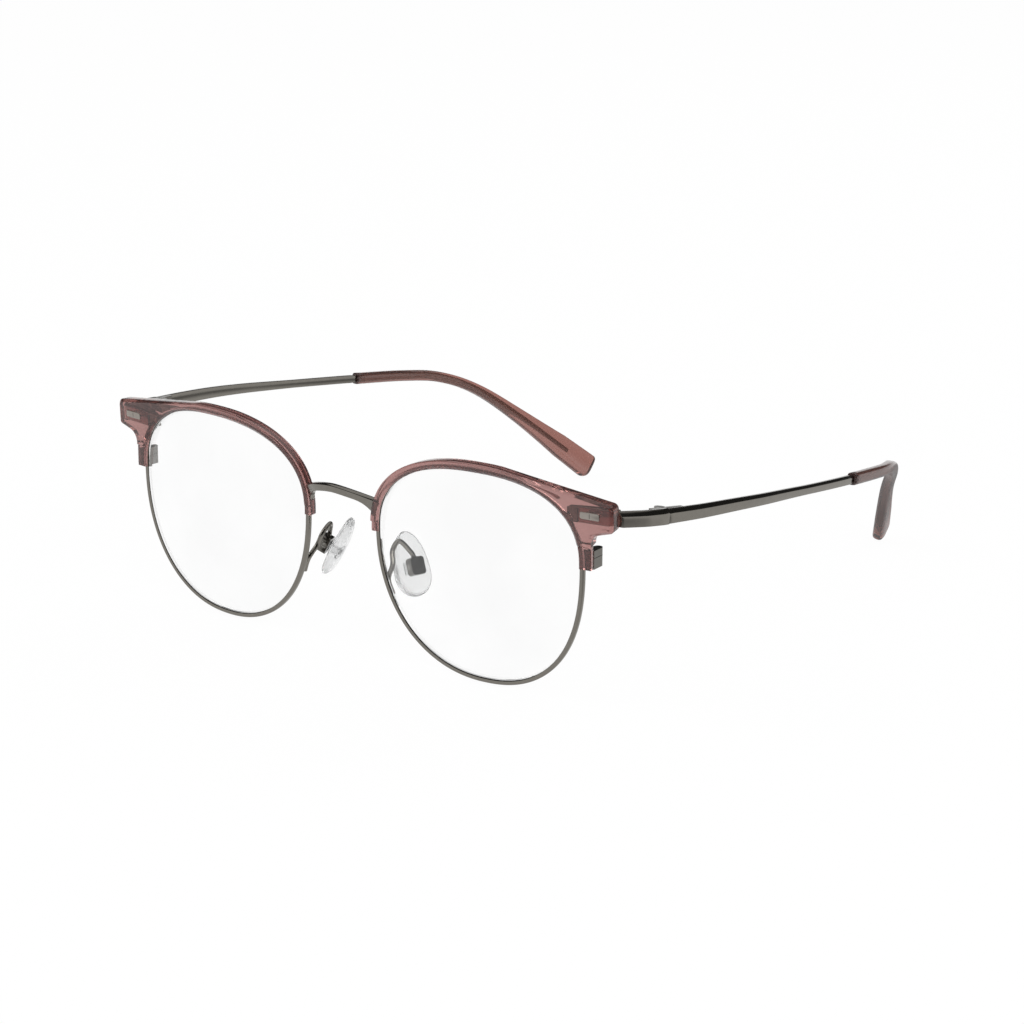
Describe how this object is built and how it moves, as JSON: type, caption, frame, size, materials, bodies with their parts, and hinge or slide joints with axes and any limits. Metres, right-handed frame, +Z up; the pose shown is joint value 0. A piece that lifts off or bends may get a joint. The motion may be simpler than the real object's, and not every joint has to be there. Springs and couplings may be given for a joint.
{
  "type": "browline glasses",
  "caption": "Round metal-rimmed glasses with clear rose acetate brows, adjustable nose pads and folding metal temples with acetate tips.",
  "frame": {"origin": "middle of the resting glasses' bounding box, on the table they rest on by the rims and the temple tips", "axes": "+X to the wearer's left, +Y to the back along the temples, +Z up"},
  "size_m": [0.1454, 0.158, 0.0474],
  "materials": {
    "frame_metal": "polished gunmetal",
    "bright_metal": "polished",
    "rose_acetate": "clear rose, polished",
    "mauve_acetate": "clear mauve, polished",
    "lens_clear": "polished, anti-reflection coated",
    "clear_silicone": "clear, soft"
  },
  "bodies": {
    "front": {"bridge": "frame_metal", "left_eyewire": "frame_metal", "left_lens": "lens_clear", "left_brow": "rose_acetate", "left_brow_rivet": "bright_metal", "left_end_piece": "frame_metal", "left_front_hinge": "frame_metal", "left_hinge_screw": "bright_metal", "left_clamp_upper": "frame_metal", "left_clamp_lower": "frame_metal", "left_clamp_screw": "bright_metal", "left_pad_arm": "frame_metal", "left_pad_box": "frame_metal", "left_pad_screw": "bright_metal", "right_eyewire": "frame_metal", "right_lens": "lens_clear", "right_brow": "rose_acetate", "right_brow_rivet": "bright_metal", "right_end_piece": "frame_metal", "right_front_hinge": "frame_metal", "right_hinge_screw": "bright_metal", "right_clamp_upper": "frame_metal", "right_clamp_lower": "frame_metal", "right_clamp_screw": "bright_metal", "right_pad_arm": "frame_metal", "right_pad_box": "frame_metal", "right_pad_screw": "bright_metal"},
    "left_temple": {"left_temple_hinge": "frame_metal", "left_temple_arm": "frame_metal", "left_temple_tip": "mauve_acetate"},
    "left_pad": {"left_nose_pad": "clear_silicone", "left_pad_insert": "bright_metal"},
    "right_temple": {"right_temple_hinge": "frame_metal", "right_temple_arm": "frame_metal", "right_temple_tip": "mauve_acetate"},
    "right_pad": {"right_nose_pad": "clear_silicone", "right_pad_insert": "bright_metal"}
  },
  "joints": [
    {"name": "left_temple_fold", "type": "hinge", "parent": "front", "child": "left_temple", "pos_m": [0.06736, -0.05767, 0.03907], "axis": [0, 0.0935, 0.9956], "range_deg": [0, 83]},
    {"name": "right_temple_fold", "type": "hinge", "parent": "front", "child": "right_temple", "pos_m": [-0.06736, -0.05767, 0.03907], "axis": [0, -0.0935, -0.9956], "range_deg": [0, 77]},
    {"name": "left_pad_rock", "type": "hinge", "parent": "front", "child": "left_pad", "pos_m": [0.01232, -0.06531, 0.01909], "axis": [0.342, 0.9397, 0], "range_deg": [-8, 8]},
    {"name": "right_pad_rock", "type": "hinge", "parent": "front", "child": "right_pad", "pos_m": [-0.01232, -0.06531, 0.01909], "axis": [-0.342, 0.9397, 0], "range_deg": [-8, 8]}
  ]
}
